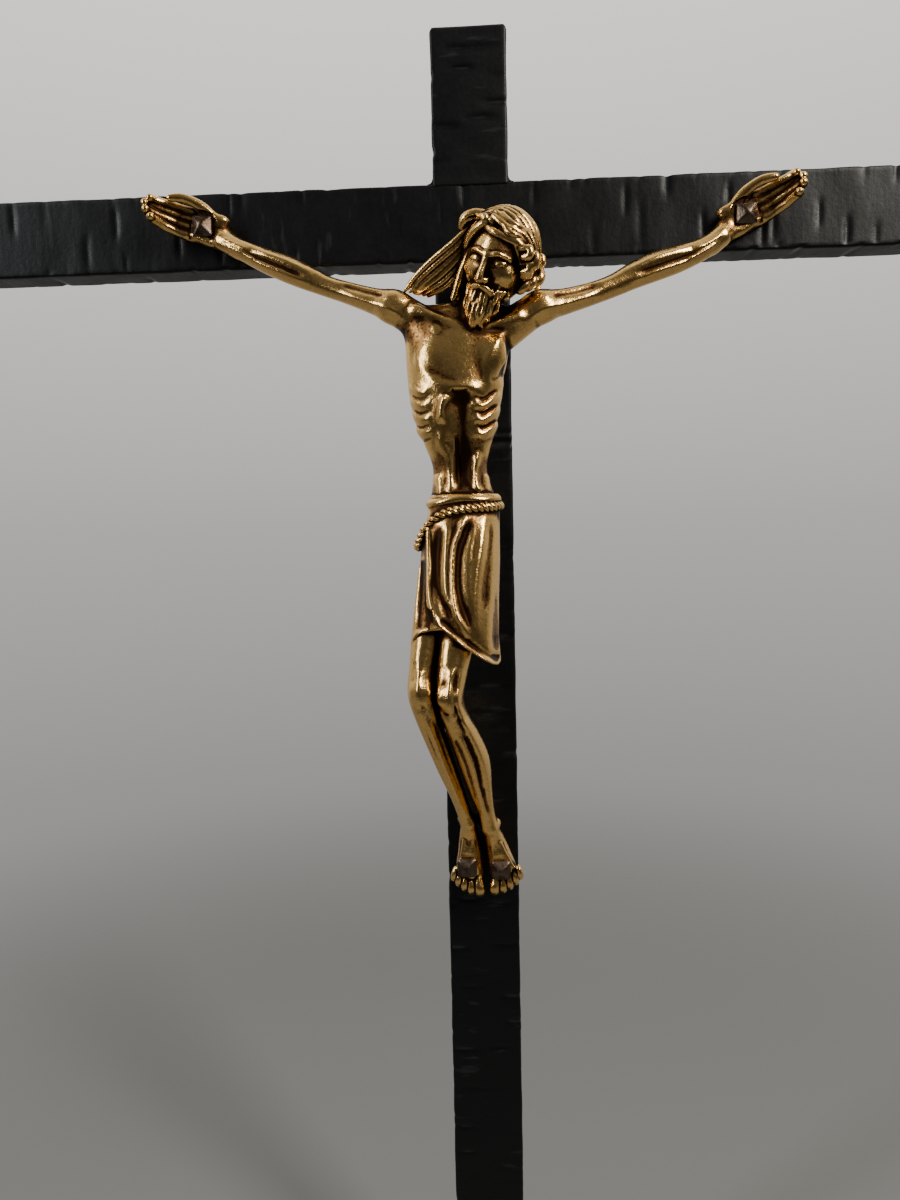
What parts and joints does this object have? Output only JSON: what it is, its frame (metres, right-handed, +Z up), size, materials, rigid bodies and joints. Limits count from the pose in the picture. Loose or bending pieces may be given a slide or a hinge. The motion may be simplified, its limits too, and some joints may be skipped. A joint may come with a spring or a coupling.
{
  "type": "wrought iron wall cross with brass figure",
  "caption": "Wall cross of hammered black iron flat bar with a cast brass corpus held on by forged nails, hung from a blind bore in its back.",
  "frame": {"origin": "centre of the mouth of the hanging bore, on the back of the crossing of the two bars", "axes": "+X to the viewer's right along the crossbar, +Y into the wall, +Z up the upright"},
  "size_m": [0.43, 0.0533, 0.593],
  "materials": {
    "iron": "hammered, black and waxed",
    "brass": "polished on the raised parts, dark brown in the hollows",
    "nail": "dark brown patina on hammered facets"
  },
  "bodies": {
    "root": {"crossbar": "iron", "upright_top": "iron", "upright_shaft": "iron", "corpus": "brass", "nail_hand_left": "nail", "nail_hand_right": "nail", "nail_foot_left": "nail", "nail_foot_right": "nail"}
  },
  "joints": []
}
